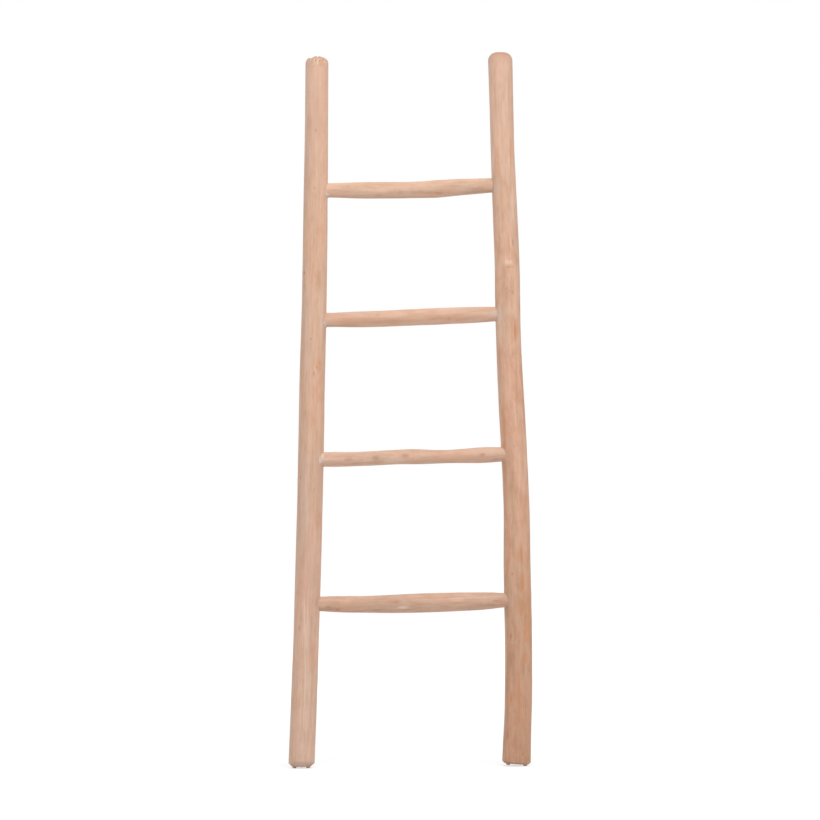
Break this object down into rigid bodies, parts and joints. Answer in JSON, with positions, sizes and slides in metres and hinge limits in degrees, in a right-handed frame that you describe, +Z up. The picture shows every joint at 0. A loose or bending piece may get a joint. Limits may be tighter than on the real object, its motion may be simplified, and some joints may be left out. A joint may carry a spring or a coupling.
{
  "type": "decorative ladder",
  "caption": "Rustic decorative ladder of bare, slightly crooked branch wood, with whittled round rungs set into two tapering rails, for leaning on a wall and hanging textiles.",
  "frame": {"origin": "on the floor, under the middle of the ladder's box, with the ladder standing upright", "axes": "+Z up along the rails, +Y from the pictured front to the back, +X to the right seen from the front"},
  "size_m": [0.5152, 0.064, 1.5],
  "materials": {
    "rail_wood": "bare, sanded, pale pinkish beige",
    "rung_wood": "bare, whittled and sanded",
    "nail_steel": "plain wire nail, dull",
    "wood_filler": "dried glue and filler, whitish, matte",
    "glide_plastic": "brown, moulded, satin"
  },
  "bodies": {
    "root": {"rail_left": "rail_wood", "rail_right": "rail_wood", "rung_1": "rung_wood", "rung_2": "rung_wood", "rung_3": "rung_wood", "rung_4": "rung_wood", "nail_rung_1_left": "nail_steel", "nail_rung_1_right": "nail_steel", "nail_rung_2_left": "nail_steel", "nail_rung_2_right": "nail_steel", "nail_rung_3_left": "nail_steel", "nail_rung_3_right": "nail_steel", "nail_rung_4_left": "nail_steel", "nail_rung_4_right": "nail_steel", "putty_rung_1_right": "wood_filler", "putty_rung_2_left": "wood_filler", "putty_rung_2_right": "wood_filler", "putty_rung_3_left": "wood_filler", "putty_rung_3_right": "wood_filler", "putty_rung_4_left": "wood_filler", "foot_glide_left_1": "glide_plastic", "foot_glide_left_2": "glide_plastic", "foot_glide_left_3": "glide_plastic", "foot_glide_right_1": "glide_plastic", "foot_glide_right_2": "glide_plastic", "foot_glide_right_3": "glide_plastic"}
  },
  "joints": []
}
